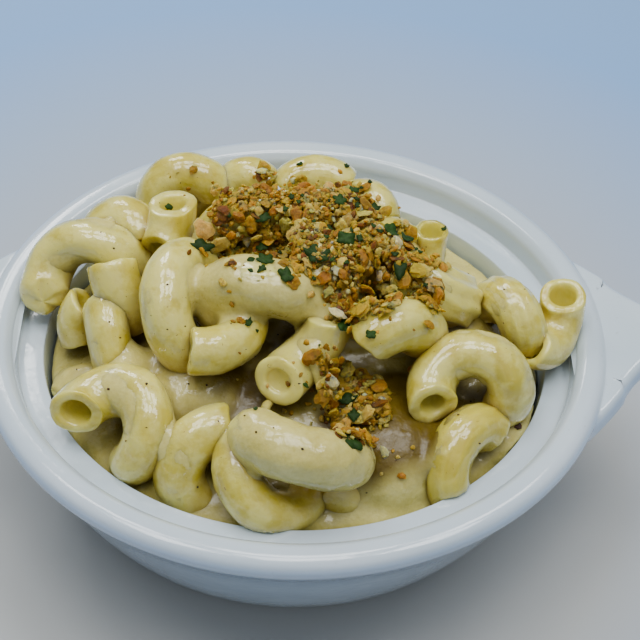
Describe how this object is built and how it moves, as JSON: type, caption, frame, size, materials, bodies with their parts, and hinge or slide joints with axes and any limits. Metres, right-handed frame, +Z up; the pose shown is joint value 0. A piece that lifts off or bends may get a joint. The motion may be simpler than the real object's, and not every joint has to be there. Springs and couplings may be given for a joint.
{
  "type": "dish of macaroni cheese",
  "caption": "Oval glazed dish with two pointed ears, heaped with short curled pasta tubes in cheese sauce under toasted crumbs and parsley.",
  "frame": {"origin": "middle of the underside, on the plane that the foot ring stands on", "axes": "+Z up, X along the dish through its two ears, -Y towards the dish's front"},
  "size_m": [0.149, 0.11, 0.0641],
  "materials": {
    "glaze": "gloss",
    "pasta": "satin"
  },
  "bodies": {
    "root": {"dish": "glaze", "macaroni": "pasta"}
  },
  "joints": []
}
